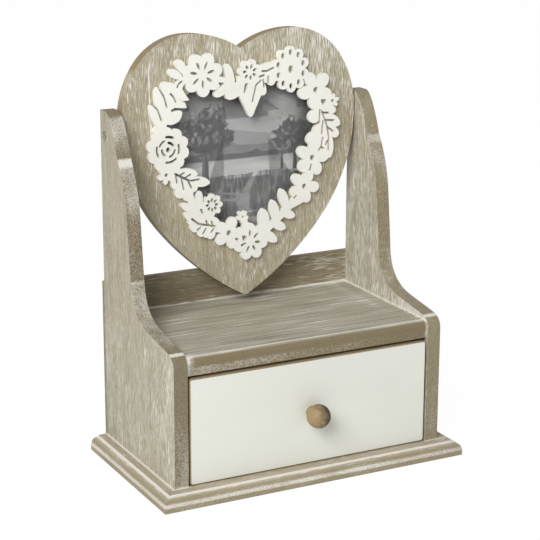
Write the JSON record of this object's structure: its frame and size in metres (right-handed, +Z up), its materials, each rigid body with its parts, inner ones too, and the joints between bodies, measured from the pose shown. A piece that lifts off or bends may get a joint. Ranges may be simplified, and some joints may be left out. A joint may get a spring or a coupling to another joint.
{
  "type": "heart photo frame on a drawer stand",
  "caption": "Heart photo frame with a cut floral wreath, swivelling between two shaped uprights above a small shelf with a drawer under it.",
  "frame": {"origin": "on the plinth's underside, where the part stands, at the middle of the cabinet's width and depth", "axes": "+X to the right seen from the front, +Y to the back, +Z up"},
  "size_m": [0.22, 0.1318, 0.2799],
  "materials": {
    "limed_wood": "limed, matt",
    "white_paint": "white paint, matt",
    "plain_wood": "bare, sanded",
    "knob_wood": "turned, thin grey wash",
    "clear_glass": "polished",
    "print_paper": "satin print",
    "backing_fibreboard": "smooth fibreboard",
    "steel": "zinc plated"
  },
  "bodies": {
    "stand": {"base_plinth": "limed_wood", "left_side_panel": "limed_wood", "right_side_panel": "limed_wood", "shelf": "limed_wood", "back_panel": "limed_wood", "base_screws": "steel", "shelf_dowels": "plain_wood", "back_panel_pins": "steel"},
    "heart": {"heart_frame": "limed_wood", "floral_wreath": "white_paint", "glass_pane": "clear_glass", "photo_print": "print_paper", "backing_board": "backing_fibreboard", "turn_button_screws": "steel", "left_pivot_screw": "steel", "right_pivot_screw": "steel"},
    "drawer": {"drawer_front": "white_paint", "drawer_left_side": "plain_wood", "drawer_right_side": "plain_wood", "drawer_back": "plain_wood", "drawer_bottom": "plain_wood", "drawer_pins": "steel", "drawer_knob": "knob_wood", "knob_screw": "steel"},
    "turn_button_top_body": {"turn_button_top": "steel"},
    "turn_button_bottom_body": {"turn_button_bottom": "steel"},
    "turn_button_left_body": {"turn_button_left": "steel"},
    "turn_button_right_body": {"turn_button_right": "steel"}
  },
  "joints": [
    {"name": "heart_tilt", "type": "hinge", "parent": "stand", "child": "heart", "pos_m": [0, 0.0536, 0.21707], "axis": [1, 0, 0], "range_deg": [-347, 3]},
    {"name": "drawer_slide", "type": "slide", "parent": "stand", "child": "drawer", "axis": [0, -1, 0], "range_m": [0, 0.09]},
    {"name": "turn_button_top_turn", "type": "hinge", "parent": "heart", "child": "turn_button_top_body", "pos_m": [0, 0.05962, 0.25055], "axis": [0, 0.999, -0.0454], "continuous": true},
    {"name": "turn_button_bottom_turn", "type": "hinge", "parent": "heart", "child": "turn_button_bottom_body", "pos_m": [0, 0.05427, 0.13256], "axis": [0, 0.999, -0.0454], "continuous": true},
    {"name": "turn_button_left_turn", "type": "hinge", "parent": "heart", "child": "turn_button_left_body", "pos_m": [-0.0665, 0.05791, 0.21287], "axis": [0, 0.999, -0.0454], "continuous": true},
    {"name": "turn_button_right_turn", "type": "hinge", "parent": "heart", "child": "turn_button_right_body", "pos_m": [0.0665, 0.05791, 0.21287], "axis": [0, 0.999, -0.0454], "continuous": true}
  ]
}
